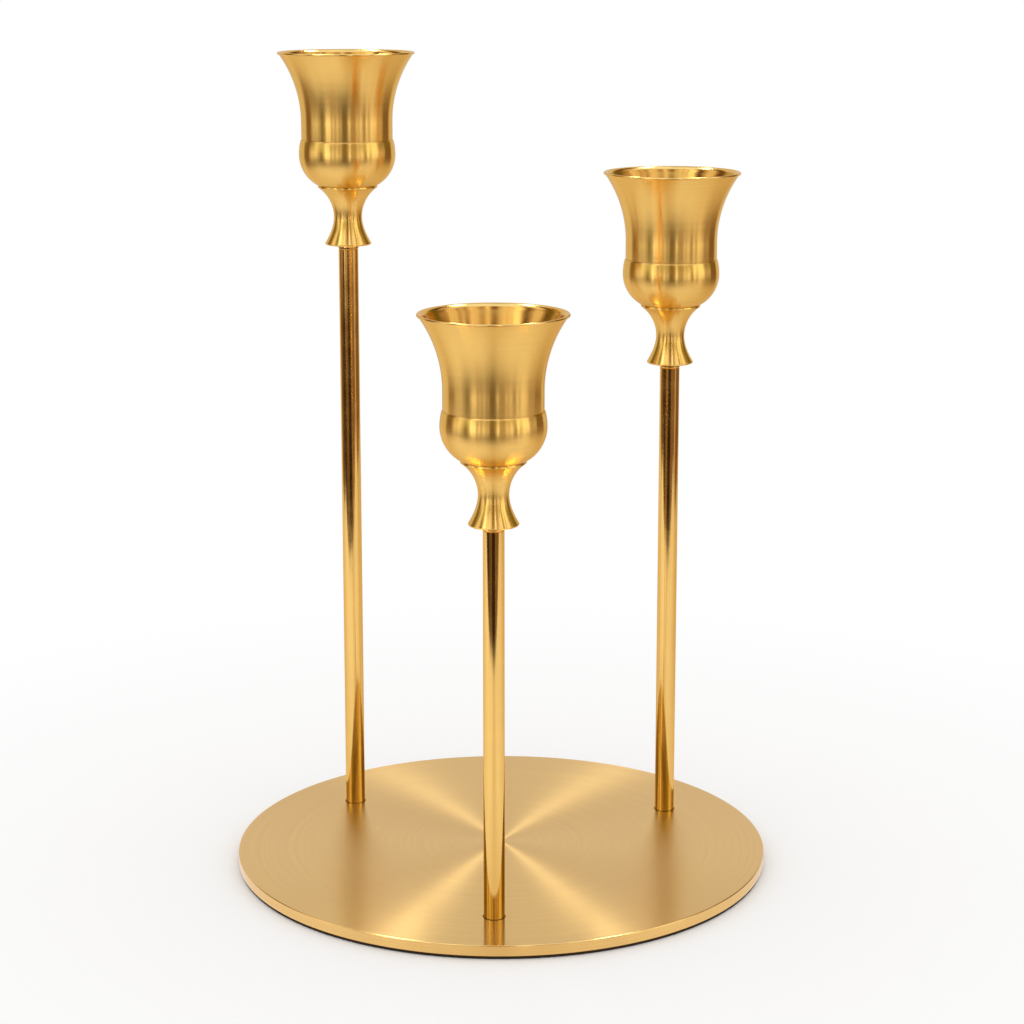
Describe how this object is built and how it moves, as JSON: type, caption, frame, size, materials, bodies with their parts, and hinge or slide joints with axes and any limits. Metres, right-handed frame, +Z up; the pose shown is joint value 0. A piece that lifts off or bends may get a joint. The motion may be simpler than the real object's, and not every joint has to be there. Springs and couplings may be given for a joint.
{
  "type": "candle stand",
  "caption": "Candle stand with tulip-shaped screw-on cups on slim polished rods of different heights, rising from a round brushed metal plate with a soft pad beneath.",
  "frame": {"origin": "on the table, under the middle of the round plate", "axes": "+Z up along the rods, +Y away from the shortest arm, +X towards the middle-height arm's side"},
  "size_m": [0.16, 0.16, 0.242],
  "materials": {
    "plate_brushed": "brass-plated, brushed in circles, satin",
    "rod_polished": "brass-plated, polished to a mirror",
    "cup_satin": "brass-plated, lathe-brushed outside, polished inside",
    "hardware": "zinc-plated steel fasteners",
    "pad_foam": "black closed-cell foam"
  },
  "bodies": {
    "stand": {"base_plate": "plate_brushed", "base_pad": "pad_foam", "base_screws": "hardware", "rod_studs": "hardware", "left_rod": "rod_polished", "right_rod": "rod_polished", "front_rod": "rod_polished"},
    "left_collar": {"left_collar": "rod_polished"},
    "left_cup": {"left_neck": "cup_satin", "left_bulb": "cup_satin", "left_flare": "cup_satin", "left_cup_screw": "hardware", "left_cup_washer": "hardware"},
    "right_collar": {"right_collar": "rod_polished"},
    "right_cup": {"right_neck": "cup_satin", "right_bulb": "cup_satin", "right_flare": "cup_satin", "right_cup_screw": "hardware", "right_cup_washer": "hardware"},
    "front_collar": {"front_collar": "rod_polished"},
    "front_cup": {"front_neck": "cup_satin", "front_bulb": "cup_satin", "front_flare": "cup_satin", "front_cup_screw": "hardware", "front_cup_washer": "hardware"}
  },
  "joints": [
    {"name": "left_cup_turn", "type": "hinge", "parent": "stand", "child": "left_collar", "pos_m": [-0.04697, 0.03604, 0.1822], "axis": [0, 0, 1], "range_deg": [0, 3241]},
    {"name": "left_cup_rise", "type": "slide", "parent": "left_collar", "child": "left_cup", "axis": [0, 0, 1], "range_m": [0, 0.0063]},
    {"name": "right_cup_turn", "type": "hinge", "parent": "stand", "child": "right_collar", "pos_m": [0.05168, 0.02888, 0.1466], "axis": [0, 0, 1], "range_deg": [0, 3241]},
    {"name": "right_cup_rise", "type": "slide", "parent": "right_collar", "child": "right_cup", "axis": [0, 0, 1], "range_m": [0, 0.0063]},
    {"name": "front_cup_turn", "type": "hinge", "parent": "stand", "child": "front_collar", "pos_m": [-0.00165, -0.05918, 0.1164], "axis": [0, 0, 1], "range_deg": [0, 3241]},
    {"name": "front_cup_rise", "type": "slide", "parent": "front_collar", "child": "front_cup", "axis": [0, 0, 1], "range_m": [0, 0.0063]}
  ],
  "couplings": [
    {"joint": "left_cup_turn", "follows": "left_cup_rise", "rad_per_m": 8976},
    {"joint": "right_cup_turn", "follows": "right_cup_rise", "rad_per_m": 8976},
    {"joint": "front_cup_turn", "follows": "front_cup_rise", "rad_per_m": 8976}
  ]
}
